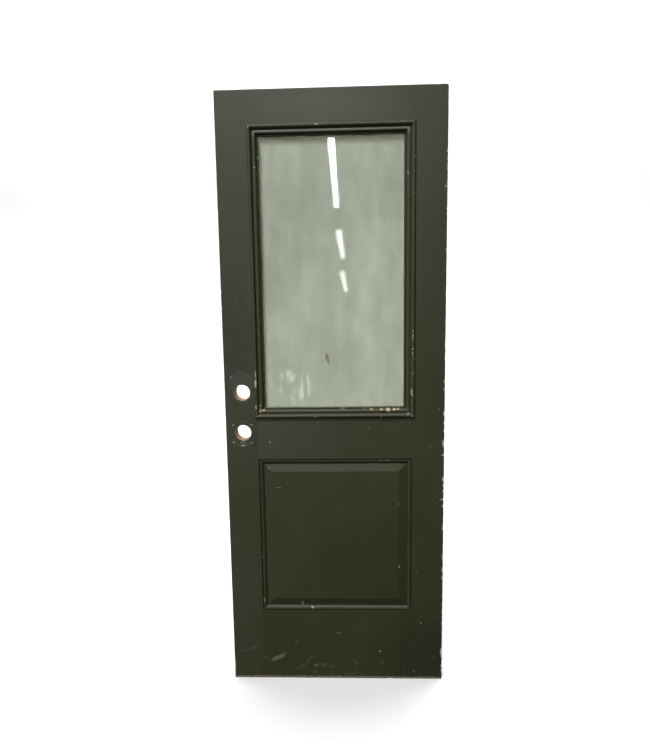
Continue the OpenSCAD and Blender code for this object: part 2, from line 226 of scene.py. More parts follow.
# %% Start a finish
class Finish:
    def __init__(self, name):
        self.material = bpy.data.materials.new(name)
        self.material.use_nodes = True
        self.tree = self.material.node_tree
        self.shader = self.tree.nodes["Principled BSDF"]
        self.place = self.add("ShaderNodeTexCoord").outputs["Object"]
        self.x, self.y, self.z = self.add("ShaderNodeSeparateXYZ", {"Vector": self.place}).outputs

    def add(self, kind, sockets=None, **settings):
        made = self.tree.nodes.new(kind)
        for key, value in settings.items():
            setattr(made, key, value)
        for key, value in (sockets or {}).items():
            self.feed(made.inputs[key], value)
        return made

    def feed(self, socket, value):
        if isinstance(value, bpy.types.NodeSocket):
            self.tree.links.new(value, socket)
        else:
            socket.default_value = value

    def calc(self, operation, *values):
        return self.add("ShaderNodeMath", dict(enumerate(values)), operation=operation).outputs[0]

    def ramp(self, value, start, end):
        sockets = {"Value": value, "From Min": start, "From Max": end}
        return self.add("ShaderNodeMapRange", sockets, interpolation_type="SMOOTHSTEP").outputs["Result"]

    def cloud(self, scale, stretch=(1, 1, 1), detail=2.0):
        spread = self.add("ShaderNodeMapping", {"Vector": self.place, "Scale": stretch}).outputs["Vector"]
        sockets = {"Vector": spread, "Scale": scale, "Detail": detail}
        return self.add("ShaderNodeTexNoise", sockets).outputs["Fac"]

    def swing(self, cloud, width):
        """A cloud runs from 0 to 1; here it runs to both sides of 0."""
        return self.calc("MULTIPLY_ADD", cloud, width, -width / 2)

    def tint(self, mask, below, above):
        made = self.add("ShaderNodeMix", data_type="RGBA")
        for index, value in ((0, mask), (6, below), (7, above)):
            self.feed(made.inputs[index], value)
        return made.outputs[2]

    def use(self, **sockets):
        for name, value in sockets.items():
            self.feed(self.shader.inputs[name.replace("_", " ")], value)

    def relief(self, height, strength, distance):
        sockets = {"Height": height, "Strength": strength, "Distance": distance}
        self.use(Normal=self.add("ShaderNodeBump", sockets).outputs["Normal"])


print("finish tools", [tool for tool in vars(Finish) if not tool.startswith("_")])

# %% [markdown]
# ## Marks
# Dents and chips on the street face have places that can be measured, in millimetres from the middle of
# the leaf and from its foot. A Mapping node of the Texture kind turns each one into a unit ball round
# its own middle, and the nearest of all the balls decides. A noise added to that distance makes the
# outline ragged.

# %% Write marks
MARK_DEPTH = 0.016
MARK_FACE = -0.024
RAGGED_BORDER = (1.05, 0.9)
SOFT_BORDER = (1.1, 0.2)


def nearest_mark(finish, marks):
    nearest = None
    for x, z, half_length, half_width, degrees in marks:
        sockets = {
            "Vector": finish.place,
            "Location": (x / 1000, MARK_FACE, z / 1000),
            "Rotation": (0, -math.radians(degrees), 0),
            "Scale": (half_length / 1000, MARK_DEPTH, half_width / 1000),
        }
        own = finish.add("ShaderNodeMapping", sockets, vector_type="TEXTURE").outputs["Vector"]
        far = finish.add("ShaderNodeVectorMath", {0: own}, operation="LENGTH").outputs["Value"]
        nearest = far if nearest is None else finish.calc("MINIMUM", nearest, far)
    return nearest


def ragged_marks(finish, marks, rag):
    return finish.ramp(finish.calc("ADD", nearest_mark(finish, marks), rag), *RAGGED_BORDER)


def soft_marks(finish, marks, rag=0.0):
    return finish.ramp(finish.calc("ADD", nearest_mark(finish, marks), rag), *SOFT_BORDER)


print("marks reach from mm", [round(1000 * (MARK_FACE + side * MARK_DEPTH), 1) for side in (-1, 1)])

# %% [markdown]
# ## Paint
# Old exterior paint is satin, not flat. The brush has left faint streaks along each board, weather has
# made broad blotches and a grain, and dust a fine speckle; the four are mixed into one value that picks
# a tone between two paints. What has happened since lies over it in layers. Dust only changes the
# colour, and the same thin layers also lay painted shade and painted sheen. Where the paint is stripped,
# the surface also turns dull, so the class below keeps a mask of all bare places.

# %% Start a paint
PAINT_DEEP = (0.043, 0.051, 0.0205, 1)
PAINT_PALE = (0.057, 0.066, 0.0310, 1)
# Pale paint for dust and scuffs; the same colour also lays painted sheen.
PAINT_DUST_AND_SHEEN = (0.110, 0.116, 0.090, 1)
SATIN_SHINE = 0.6
STREET_SIDE = (0.0, -0.004)
MIX_MIDDLE = 1.3
BLOTCH_ROUGH = 0.22
STREAK_ROUGH = 0.10
BARE_ROUGH = 0.85
STREAK_HEIGHT = 0.35
SPECKLE_HEIGHT = 0.10
BRUSH_DEPTH = 0.0006


def both(finish, a, b):
    return finish.calc("MULTIPLY", a, b)


def either(finish, *masks):
    result = masks[0]
    for mask in masks[1:]:
        result = finish.calc("MAXIMUM", result, mask)
    return result


class Paint(Finish):
    def __init__(self, name, along, tone):
        super().__init__(name)
        self.street = self.ramp(self.y, *STREET_SIDE)
        self.streak = self.cloud(scale=150, stretch=along, detail=4.0)
        self.blotch = self.cloud(scale=5.0, stretch=(1, 1, 0.6), detail=5.0)
        self.speckle = self.cloud(scale=420)
        self.grain = self.cloud(scale=170, stretch=(1, 1, 0.7), detail=3.0)
        self.rag = self.swing(self.cloud(scale=330, detail=3.0), width=1.6)
        mix = tone - MIX_MIDDLE
        layers = ((self.streak, 0.6), (self.blotch, 1.2), (self.speckle, 0.4), (self.grain, 0.8))
        for layer, weight in layers:
            mix = self.calc("MULTIPLY_ADD", layer, weight, mix)
        self.colour = self.tint(self.ramp(mix, 0.0, 1.0), PAINT_DEEP, PAINT_PALE)
        self.bare = self.add("ShaderNodeAttribute", attribute_name="bare").outputs["Fac"]

    # A thin layer of colour on the street face: real dust and grime, and also painted shade and painted
    # sheen.
    def dust(self, mask, share, colour=PAINT_DUST_AND_SHEEN):
        thin = self.calc("MULTIPLY", both(self, mask, self.street), share)
        self.colour = self.tint(thin, self.colour, colour)

    def strip(self, mask, low, high):
        self.colour = self.tint(mask, self.colour, self.tint(self.grain, low, high))
        self.bare = either(self, self.bare, mask)

    def knock(self, marks):
        return both(self, ragged_marks(self, marks, self.rag), self.street)

    def dry(self, roughness, bump):
        rough = self.calc("MULTIPLY_ADD", self.blotch, BLOTCH_ROUGH, roughness)
        rough = self.calc("MULTIPLY_ADD", self.streak, STREAK_ROUGH, rough)
        rough = self.calc("MAXIMUM", rough, self.calc("MULTIPLY", self.bare, BARE_ROUGH))
        fine = self.calc("MULTIPLY", self.speckle, SPECKLE_HEIGHT)
        height = self.calc("MULTIPLY_ADD", self.streak, STREAK_HEIGHT, fine)
        self.use(Base_Color=self.colour, Roughness=rough)
        self.shader.inputs["Specular IOR Level"].default_value = SATIN_SHINE
        self.relief(height, bump, BRUSH_DEPTH)
        return self.material


print("paint tones", PAINT_DEEP[:3], PAINT_PALE[:3])

# %% [markdown]
# ### Edges
# A mask can follow the leaf's own lines. A broken edge is found by its distance from an arris, which is
# the larger of the distances from the two faces that meet there. The foot of the leaf is worn to the
# wood along its whole length, the head only here and there.

# %% Write the edge masks
PRIMER_DULL = (0.38, 0.35, 0.27, 1)
PRIMER = (0.66, 0.63, 0.53, 1)
BROKEN_BORDER = 0.0005
FOOT_REACH = 0.0135
FOOT_RAG = (0.9, 0.2)
FOOT_DIRTY = (0.10, 0.080, 0.048, 1)
FOOT_WOOD = (0.36, 0.30, 0.20, 1)
HEAD_REACH = 0.0028
HEAD_BREAKS = (0.60, 0.75)


def inside_distances(finish):
    from_side = finish.calc("SUBTRACT", HALF_WIDTH, finish.calc("ABSOLUTE", finish.x))
    from_face = finish.calc("SUBTRACT", HALF_THICK, finish.calc("ABSOLUTE", finish.y))
    from_head = finish.calc("SUBTRACT", LEAF_TOP, finish.z)
    return from_side, from_face, from_head


def edge_distances(finish):
    from_side, from_face, from_head = inside_distances(finish)
    upright = finish.calc("MAXIMUM", from_side, from_face)
    foot = finish.calc("MAXIMUM", finish.z, from_face)
    head = finish.calc("MAXIMUM", from_head, from_face)
    return upright, foot, head


def broken_edge(finish, distance, reach, rag):
    lost = finish.calc("MULTIPLY", rag, reach)
    return finish.ramp(finish.calc("SUBTRACT", lost, distance), 0.0, BROKEN_BORDER)


def wear_ends(paint):
    upright, foot, head = edge_distances(paint)
    worn_foot = broken_edge(paint, foot, FOOT_REACH, paint.calc("MULTIPLY_ADD", paint.grain, *FOOT_RAG))
    worn_head = broken_edge(paint, head, HEAD_REACH, paint.ramp(paint.grain, *HEAD_BREAKS))
    paint.strip(worn_head, PRIMER_DULL, PRIMER)
    paint.strip(worn_foot, FOOT_DIRTY, FOOT_WOOD)
    return upright


print("worn foot in mm", 1000 * FOOT_REACH)

# %% [markdown]
# ### Rings
# A ring is found by its distance from an axis through the leaf. It draws the rims of the bores and the
# outlines that old plates have left round them. Rings are listed in metres, as middle, radius and half
# the width of the line.

# %% Write the ring mask
RING_CORE = 0.4


def from_axis(finish, x, z):
    across = finish.calc("SUBTRACT", finish.x, x)
    up = finish.calc("SUBTRACT", finish.z, z)
    squares = finish.calc("MULTIPLY_ADD", across, across, finish.calc("MULTIPLY", up, up))
    return finish.calc("SQRT", squares)


def ring(finish, x, z, radius, half_line):
    off_line = finish.calc("ABSOLUTE", finish.calc("SUBTRACT", from_axis(finish, x, z), radius))
    return finish.ramp(off_line, half_line, half_line * RING_CORE)


print("share of a line that is full", RING_CORE)

# %% [markdown]
# ### Prints round the lock
# The stile at the left carried the lock, and its plates have left prints. Above the upper bore the
# paint is clean in a round patch. Round the lower bore runs the outline of a plate with two ears, made
# here from parts of two rings and a few short marks.

# %% Draw the prints
CLEAN_PAINT = (0.078, 0.088, 0.068, 1)
CLEAN_MIDDLE = (-0.3160, 1.0880)
CLEAN_RADIUS = (0.0408, 0.0398)
PLATE_TOP_RING = (-0.3160, 0.9263, 0.0287, 0.0012)
PLATE_TOP_FROM = (0.9405, 0.9425)
PLATE_FOOT_RING = (-0.3170, 0.9020, 0.0350, 0.0013)
PLATE_FOOT_FROM = (0.8790, 0.8770)
PLATE_FOOT_GAIN = 1.6
BORE_X = -0.3142
BOLT_BORE_Z = 1.0527
BOLT_RUB_RING = (BORE_X, BOLT_BORE_Z, 0.0318, 0.0013)
BOLT_RUB_BELOW = (1.045, 1.040)
BOLT_RUB_RIGHT = (-0.309, -0.304)
PLATE_MARKS = [
    (-349, 941, 3.2, 2.2, 0), (-285, 941, 4.0, 1.2, 0), (-349, 880, 4.0, 2.2, 0), (-287, 878, 5.0, 1.4, 20),
    (-317, 868.5, 8.0, 2.2, 0), (-322, 879, 3.0, 1.6, 0), (-311, 879, 3.0, 1.6, 0),
]


def lay_prints(paint):
    """Where plates sat round the two bores, the paint is cleaner and has thin pale outlines."""
    clean = paint.ramp(from_axis(paint, *CLEAN_MIDDLE), *CLEAN_RADIUS)
    paint.dust(clean, share=0.5, colour=CLEAN_PAINT)
    plate_top = both(paint, ring(paint, *PLATE_TOP_RING), paint.ramp(paint.z, *PLATE_TOP_FROM))
    plate_foot = both(paint, ring(paint, *PLATE_FOOT_RING), paint.ramp(paint.z, *PLATE_FOOT_FROM))
    rub = both(paint, ring(paint, *BOLT_RUB_RING), paint.ramp(paint.z, *BOLT_RUB_BELOW))
    rub = both(paint, rub, paint.ramp(paint.x, *BOLT_RUB_RIGHT))
    thin_lines = either(paint, plate_top, rub, paint.calc("MULTIPLY", plate_foot, PLATE_FOOT_GAIN))
    paint.dust(thin_lines, share=0.28, colour=PRIMER_DULL)
    paint.dust(paint.knock(PLATE_MARKS), share=0.75, colour=PRIMER)


print("plate marks", len(PLATE_MARKS))

# %% [markdown]
# ### Cut wood
# Bores, hinge gains and latch mortises go through the paint to the wood, and round the rims of the
# bores the paint is torn. All these cuts lie deeper than the skin of the board and near its outer edge,
# so a few distances find them, and no cut has to be painted by hand.

# %% Bare the cuts
OLD_WOOD = (0.36, 0.23, 0.12, 1)
FRESH_WOOD = (0.66, 0.49, 0.32, 1)
FACE_SKIN = (0.0012, 0.0016)
SIDE_SKIN = (0.0010, 0.0014)
STILE_CUT_REACH = 0.100
STILE_CUT_FADE = 0.002
BORE_RADIUS = 0.027
KNOB_BORE_Z = 0.913
RIM_WIDTH = 0.0012
RIM_TEAR = 0.0030
RIM_BORDER = 0.0006
RIM_SHARE = 0.75


def cut_wood(paint):
    from_side, from_face, from_head = inside_distances(paint)
    inside = both(paint, paint.ramp(from_face, *FACE_SKIN), paint.ramp(from_side, *SIDE_SKIN))
    inside = both(paint, inside, paint.ramp(from_side, STILE_CUT_REACH + STILE_CUT_FADE, STILE_CUT_REACH))
    from_end = paint.calc("MINIMUM", paint.z, from_head)
    inside = both(paint, inside, paint.ramp(from_end, *SIDE_SKIN))
    torn = paint.calc("MULTIPLY_ADD", paint.rag, RIM_TEAR, BORE_RADIUS + RIM_WIDTH)
    bolt_rim = paint.calc("SUBTRACT", torn, from_axis(paint, BORE_X, BOLT_BORE_Z))
    knob_rim = paint.calc("SUBTRACT", torn, from_axis(paint, BORE_X, KNOB_BORE_Z))
    rim = paint.ramp(either(paint, bolt_rim, knob_rim), 0.0, RIM_BORDER)
    paint.strip(both(paint, rim, RIM_SHARE), PRIMER_DULL, PRIMER)
    paint.strip(inside, OLD_WOOD, FRESH_WOOD)


print("bores at mm", [round(1000 * z, 1) for z in (KNOB_BORE_Z, BOLT_BORE_Z)])

# %% [markdown]
# ## Stiles
# The stiles are the long uprights, brushed from top to bottom. The right one has lost paint all along
# its outer arris, where the leaf was dragged. A darker patch above the lock and a darker foot on the
# right are painted shade, and a paler foot on the left is painted sheen. Marks are listed as middle,
# half length, half width and turn.

# %% Paint the stiles
# Painted shade: a darker paint laid where less light falls.
PAINTED_SHADE = (0.024, 0.029, 0.011, 1)
CHIP_DULL = (0.46, 0.38, 0.28, 1)
BRUSHED_UP = (1, 1, 0.03)
LOCK_ARRIS_REACH = 0.0014
HINGE_ARRIS_MORE = 0.0030
HINGE_SIDE = (0.0, 0.1)
ARRIS_BREAKS = (0.52, 0.70)
# Painted shade: the foot is darker towards the right.
FOOT_SHADE_PATCH = [(390, 60, 330, 300, 0)]
# Painted shade: a darker patch above the lock.
LOCK_SHADE_PATCH = [(-325, 1250, 70, 240, 0)]
# Painted sheen: the left foot a little paler.
LEFT_FOOT_SHEEN = [(-374, 240, 200, 460, 0)]
STILE_CHIPS = [
    (-351, 1106, 2.6, 1.8, 0), (298, 217, 2.2, 2.0, 0),
    (373, 1828, 3.0, 4.0, 0), (368, 1720, 2.4, 3.0, 0), (373, 1520, 3.0, 5.0, 0), (373, 1085, 4.0, 6.0, 0),
    (373, 1057, 4.0, 5.0, 0), (373, 975, 4.5, 9.0, 0), (373, 944, 3.5, 6.0, 0), (373, 915, 4.0, 3.0, 0),
    (373, 872, 6.5, 14.0, 0), (372, 830, 6.0, 4.0, 0), (373, 745, 5.0, 8.0, 0), (373, 724, 4.0, 4.0, 0),
    (373, 701, 4.5, 4.0, 0), (370, 673, 8.0, 2.2, 15), (373, 650, 4.5, 4.0, 0), (373, 568, 4.5, 6.0, 0),
    (373, 463, 4.0, 9.0, 0), (373, 418, 4.0, 9.0, 0), (373, 386, 3.5, 7.0, 0), (374, 108, 6.0, 13.0, 0),
    (373, 89, 5.0, 3.0, 0), (373, 50, 3.5, 4.0, 0), (373, 33, 3.5, 3.0, 0), (373, 2030, 3.0, 3.0, 0),
    (-374, 50, 2.6, 38.0, 0), (-374, 1290, 2.4, 4.0, 0), (-374, 1340, 2.4, 6.0, 0),
    (-374, 1395, 2.4, 5.0, 0),
]
STILE_SPECKS = [
    (325, 1023, 2.2, 1.5, 0), (355, 990, 5.0, 1.3, 60), (300, 236, 2.0, 1.6, 0), (-320, 452, 2.2, 1.6, 0),
    (269, 437, 2.0, 1.6, 0), (283, 407, 2.0, 1.6, 0), (300, 532, 1.6, 2.8, 0), (274, 29, 3.2, 4.0, 0),
]
STILE_SCUFFS = [
    (-330, 107, 26, 5, 14), (-304, 117, 18, 8, 24), (287, 223, 15, 2.2, 32), (342, 236, 23, 2.2, 20),
    (327, 860, 12, 6, 10), (340, 84, 9, 6, 0), (-300, 42, 13, 5, 5), (-336, 1030, 9, 8, 40),
    (-320, 1018, 5, 5, 0),
]


def painted_stiles():
    paint = Paint("paint_on_stiles", along=BRUSHED_UP, tone=0.10)
    # Painted shade: the foot is darker towards the right.
    paint.dust(soft_marks(paint, FOOT_SHADE_PATCH), share=0.75, colour=PAINTED_SHADE)
    # Painted shade: a darker, ragged patch above the lock.
    lock_shade_rag = paint.swing(paint.cloud(scale=70, stretch=(1, 1, 0.6), detail=5.0), width=1.8)
    paint.dust(soft_marks(paint, LOCK_SHADE_PATCH, lock_shade_rag), share=0.55, colour=PAINTED_SHADE)
    # Painted sheen: the left foot a little paler.
    paint.dust(soft_marks(paint, LEFT_FOOT_SHEEN), share=0.12)
    paint.dust(soft_marks(paint, STILE_SCUFFS, paint.rag), share=0.55)
    lay_prints(paint)
    upright = wear_ends(paint)
    hinge_side = paint.ramp(paint.x, *HINGE_SIDE)
    reach = paint.calc("MULTIPLY_ADD", hinge_side, HINGE_ARRIS_MORE, LOCK_ARRIS_REACH)
    broken = broken_edge(paint, upright, reach, paint.ramp(paint.grain, *ARRIS_BREAKS))
    paint.strip(broken, PRIMER_DULL, PRIMER)
    paint.dust(paint.knock(STILE_SPECKS), share=0.45, colour=PRIMER_DULL)
    paint.strip(paint.knock(STILE_CHIPS), CHIP_DULL, PRIMER)
    cut_wood(paint)
    return paint.dry(roughness=0.33, bump=0.35)


stile_paint = painted_stiles()
print("stile paint nodes", len(stile_paint.node_tree.nodes))

# %% [markdown]
# ## Rails
# The rails run level, so their streaks do too, and thin dark lines show where their shoulders meet the
# stiles. Their paint is a little paler than the stiles', and the left of the lock rail and the middle
# of the top rail are paler still: painted sheen. The foot is darker on the right: painted shade. Shoes
# and boxes have scuffed the bottom rail: one leaf-shaped rub, a ring, and pale strokes.

# %% Paint the rails
# Dark for the joints at the rails' shoulders; the mouldings also use it for painted shade in the groove
# round the panel.
DARK_JOINT_AND_SHADE = (0.010, 0.011, 0.006, 1)
LEAF_PALE = (0.19, 0.19, 0.145, 1)
BRUSHED_ACROSS = (0.03, 1, 1)
# Painted sheen: the left of the lock rail a little paler.
LOCK_RAIL_SHEEN = [(-190, 890, 330, 150, 0)]
# Painted sheen: the middle of the top rail paler.
HEAD_RAIL_SHEEN = [(0, 1975, 270, 70, 0)]
RAIL_CHIPS = [(-223, 880, 5.5, 1.6, 58), (154, 106, 2.4, 2.4, 0)]
RAIL_SPECKS = [
    (117, 927, 5.0, 1.4, 45), (171, 941, 3.2, 1.2, 60), (221, 939, 2.2, 1.5, 20), (-260, 81, 2.4, 2.0, 0),
    (238, 29, 2.2, 1.6, 0), (10, 177, 3.4, 3.0, 0), (-77, 50, 3.6, 3.4, 0), (-79, 25, 2.6, 4.2, 0),
]
RAIL_SCUFFS = [
    (-148, 142, 11, 5.5, 62), (3, 176, 10, 8, -20), (-143, 37, 11, 4, -20), (-127, 45, 16, 4, 42),
    (-103, 72, 26, 7, 50), (-50, 53, 15, 9, 20), (-23, 46, 14, 8, -20), (160, 63, 9, 7, 10),
    (238, 181, 14, 2.2, -28), (134, 933, 8, 2.2, 20), (181, 915, 4, 3, 0), (-75, 52, 16, 7, 10),
    (-122, 50, 12, 6, 0), (-92, 84, 10, 9, 0),
]
LEAF_RUB = [(-217, 79, 32, 11, 24), (-196, 91, 14, 5, 34), (-200, 84, 12, 5, 14)]
LEAF_RAG = 0.4
SHOE_RING = (0.043, 0.046, 0.029, 0.0050)
SHOE_CLOUD = 28
SHOE_BREAKS = (0.47, 0.62)
SHOULDER_X = -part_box("lock_rail")[0].x
SHOULDER_LINE = (SHOULDER_X - 0.0011, SHOULDER_X - 0.0002)
HINGE_HALF = (-0.1, 0.1)
GAP_LEFT = 0.4
GAP_RIGHT_MORE = 0.6


def painted_rails():
    # The higher tone makes the rails' paint a little paler than the stiles': painted sheen.
    paint = Paint("paint_on_rails", along=BRUSHED_ACROSS, tone=0.20)
    # Painted shade: the foot is darker towards the right.
    paint.dust(soft_marks(paint, FOOT_SHADE_PATCH), share=0.75, colour=PAINTED_SHADE)
    # Painted sheen: the left of the lock rail a little paler.
    paint.dust(soft_marks(paint, LOCK_RAIL_SHEEN), share=0.22)
    # Painted sheen: the middle of the top rail paler.
    paint.dust(soft_marks(paint, HEAD_RAIL_SHEEN), share=0.22)
    paint.dust(soft_marks(paint, RAIL_SCUFFS, paint.rag), share=0.6)
    shoe_breaks = paint.ramp(paint.cloud(SHOE_CLOUD), *SHOE_BREAKS)
    paint.dust(both(paint, ring(paint, *SHOE_RING), shoe_breaks), share=0.45)
    leaf = ragged_marks(paint, LEAF_RUB, paint.calc("MULTIPLY", paint.grain, LEAF_RAG))
    paint.dust(leaf, share=0.75, colour=LEAF_PALE)
    paint.dust(paint.knock(RAIL_SPECKS), share=0.4, colour=PRIMER_DULL)
    paint.strip(paint.knock(RAIL_CHIPS), PRIMER_DULL, PRIMER)
    wear_ends(paint)
    shoulder = paint.ramp(paint.calc("ABSOLUTE", paint.x), *SHOULDER_LINE)
    opened = paint.calc("MULTIPLY_ADD", paint.ramp(paint.x, *HINGE_HALF), GAP_RIGHT_MORE, GAP_LEFT)
    paint.dust(both(paint, shoulder, opened), share=0.75, colour=DARK_JOINT_AND_SHADE)
    return paint.dry(roughness=0.28, bump=0.35)


rail_paint = painted_rails()
print("rail shoulders at mm", round(1000 * SHOULDER_X, 1))

# %% [markdown]
# ## Panel
# The raised panel is brushed upright, like the stiles, but its streaks are a little shorter. It has
# only a few chips, the scratches of something dragged across it, and a painted shade that darkens it
# towards its lower right corner.

# %% Paint the panel
BRUSHED_PANEL = (1, 1, 0.05)
# Painted shade: the panel darker towards its lower right corner.
PANEL_SHADE_PATCH = [(240, 330, 330, 330, 0)]
PANEL_CHIPS = [
    (-205, 717, 2.3, 1.7, 0), (-193, 718, 2.1, 1.5, 20), (222, 427, 4.0, 2.6, 70), (-229, 787, 2.2, 2.0, 0),
    (218, 657, 1.5, 2.0, 0), (-121, 291, 3.4, 3.2, 0), (-124, 280, 3.4, 2.8, 0),
]
PANEL_SCRATCHES = [
    (4, 646, 13, 1.8, -22), (14, 652, 10, 1.6, -28), (38, 640, 15, 1.8, 6), (56, 637, 10, 1.5, -8),
    (26, 645, 7, 1.4, -35),
]


def painted_panel():
    paint = Paint("paint_on_panel", along=BRUSHED_PANEL, tone=0.12)
    # Painted shade: the panel darker towards its lower right corner.
    paint.dust(soft_marks(paint, PANEL_SHADE_PATCH), share=0.28, colour=PAINTED_SHADE)
    paint.dust(soft_marks(paint, PANEL_SCRATCHES, paint.rag), share=0.8)
    paint.strip(paint.knock(PANEL_CHIPS), PRIMER_DULL, PRIMER)
    return paint.dry(roughness=0.30, bump=0.30)


panel_paint = painted_panel()
print("panel marks", len(PANEL_CHIPS) + len(PANEL_SCRATCHES))

# %% [markdown]
# ## Dust and painted light on the mouldings
# Dust settles on a moulding by its shape, and light falls on it by its shape too, so depth and height
# together find both: brown dust round the glass, a painted highlight in a pale band over it, a dusty
# ledge under it, and painted shade in the groove round the panel.

# %% Dust the mouldings and paint light on them
MOULDING_BROWN = (0.076, 0.064, 0.032, 1)
# Painted highlight: a pale band on the moulding just above the glass.
BAND_SHEEN = (0.29, 0.30, 0.24, 1)
LEDGE_DUST = (0.074, 0.070, 0.041, 1)
BAND_DEPTH = (0.0225, 0.0243)
BAND_END = (0.0256, 0.0250)
BAND_HEIGHT = (1.884, 1.892)
GROOVE_DEPTH = (0.0182, 0.0166)
PANEL_BELOW = (0.95, 0.90)


def lay_moulding_dust_and_light(paint, depth, ledge, glazing):
    paint.dust(both(paint, paint.blotch, glazing), share=0.5, colour=MOULDING_BROWN)
    # Painted highlight: a pale band along the moulding just above the glass.
    band = both(paint, paint.ramp(depth, *BAND_DEPTH), paint.ramp(depth, *BAND_END))
    paint.dust(both(paint, band, paint.ramp(paint.z, *BAND_HEIGHT)), share=0.45, colour=BAND_SHEEN)
    paint.dust(ledge, share=0.5, colour=LEDGE_DUST)
    # Painted shade: the groove round the panel is darkened.
    groove_shade = both(paint, paint.ramp(depth, *GROOVE_DEPTH), paint.ramp(paint.z, *PANEL_BELOW))
    paint.dust(groove_shade, share=0.65, colour=DARK_JOINT_AND_SHADE)


print("band over the glass from mm", round(1000 * BAND_HEIGHT[0], 1))

# %% [markdown]
# ## Mouldings
# The mouldings take the knocks: their crests are worn through in short runs. The crest is simply the
# part that stands furthest out, so a mask on depth finds it, and a list says where the runs are thick.
# On the bead under the glass whole flakes have come away down to yellow wood.

# %% Paint the mouldings
GLAZING_FROM = (0.90, 0.95)
LEDGE_TO = (1.006, 0.999)
CREST_DEPTH = (0.0296, 0.0308)
SILL_HEIGHT = (0.300, 0.286)
MATT_SHARE = 0.7
RUN_BORDER = (1.1, 0.0)
RUN_GAIN = 0.22
CREST_BREAKS = (0.68, 0.77)
FLAKE_DULL = (0.46, 0.33, 0.14, 1)
FLAKE_WOOD = (0.90, 0.82, 0.56, 1)
FLAKE_GRAIN = 2.2
FLAKE_RAG = (0.8, -1.1)
CREST_RUNS = [
    (264, 1130, 14, 150, 0), (-266, 1100, 14, 40, 0), (264, 1240, 14, 45, 0), (159, 969, 14, 8, 0),
    (258, 968, 16, 12, 0), (-253, 998, 9, 20, 0), (-266, 1004, 8, 12, 0),
]
MOULDING_CHIPS = [
    (-266, 1084, 4.5, 14, 0), (-265, 1117, 2.0, 13, 0), (-266, 1007, 2.4, 2.0, 0), (-266, 1000, 2.4, 2.0, 0),
    (-253.5, 1008, 2.6, 2.6, 0), (-253, 990, 2.8, 7.5, 0), (-65, 968, 3.6, 2.4, 0), (159, 968, 3.0, 2.0, 0),
    (263, 967, 4.2, 3.0, 40), (250, 977, 2.4, 2.0, 0), (261, 1052, 2.2, 12, 0), (264, 1041, 3.0, 3.0, 0),
    (-45, 1917, 6.0, 2.2, 0), (-265, 1915, 2.3, 2.0, 45), (233, 1922, 3.0, 1.2, 20),
    (269, 1812, 2.0, 2.4, 0), (-238, 1823, 2.8, 3.2, 0), (-249, 1791, 2.6, 2.4, 0), (247, 1763, 2.2, 3.6, 0),
    (-87, 273, 6.0, 2.8, -28), (158, 812, 3.5, 0.9, 0), (180, 812, 4.5, 0.9, 0),
    (-226, 793, 3.0, 2.0, 30), (-262, 460, 1.8, 3.2, 0), (-260, 300, 1.6, 8, 0),
]
BEAD_FLAKES = [
    (127, 993, 4.5, 3.4, 0), (160, 993, 5.0, 4.2, 0), (183, 991, 8.0, 6.5, -20), (203, 992, 5.0, 4.2, 15),
    (217, 993, 5.0, 3.0, 0), (30, 995, 12, 2.2, 0), (102, 995, 3.0, 2.4, 0), (-242, 993, 6, 3, 0),
]


def painted_moulding(name, along):
    paint = Paint(name, along, tone=0.15)
    depth = paint.calc("ABSOLUTE", paint.y)
    glazing = paint.ramp(paint.z, *GLAZING_FROM)
    ledge = both(paint, glazing, paint.ramp(paint.z, *LEDGE_TO))
    lay_moulding_dust_and_light(paint, depth, ledge, glazing)
    crest = paint.ramp(depth, *CREST_DEPTH)
    sill = paint.ramp(paint.z, *SILL_HEIGHT)
    matt = paint.calc("MULTIPLY", either(paint, crest, ledge, sill), MATT_SHARE)
    paint.bare = either(paint, paint.bare, matt)
    run = paint.ramp(nearest_mark(paint, CREST_RUNS), *RUN_BORDER)
    thin = paint.calc("MULTIPLY_ADD", run, RUN_GAIN, paint.grain)
    paint.strip(both(paint, crest, paint.ramp(thin, *CREST_BREAKS)), PRIMER_DULL, PRIMER)
    paint.strip(paint.knock(MOULDING_CHIPS), PRIMER_DULL, PRIMER)
    torn = paint.calc("MULTIPLY_ADD", paint.rag, *FLAKE_RAG)
    torn = paint.calc("MULTIPLY_ADD", paint.grain, FLAKE_GRAIN, torn)
    flakes = both(paint, ragged_marks(paint, BEAD_FLAKES, torn), paint.street)
    paint.strip(flakes, FLAKE_DULL, FLAKE_WOOD)
    return paint.dry(roughness=0.34, bump=0.12)


upright_moulding = painted_moulding("paint_on_upright_mouldings", BRUSHED_UP)
level_moulding = painted_moulding("paint_on_level_mouldings", BRUSHED_ACROSS)
print("moulding marks", len(MOULDING_CHIPS) + len(BEAD_FLAKES))

# %% [markdown]
# ## Glass
# The sealed unit is two panes of slightly green float glass with a film of dust. Refraction is kept on
# the shader and the dust goes into colour and roughness, so that the panes stay clear where they were
# wiped. Along the top and the left border the glass is darkened: a painted shadow. Finger smudges and a
# brown stain lie on the front pane only. Marks are balls round the face of the leaf, and the panes stand
# far behind it, so the place that the marks read is flattened onto that face first.

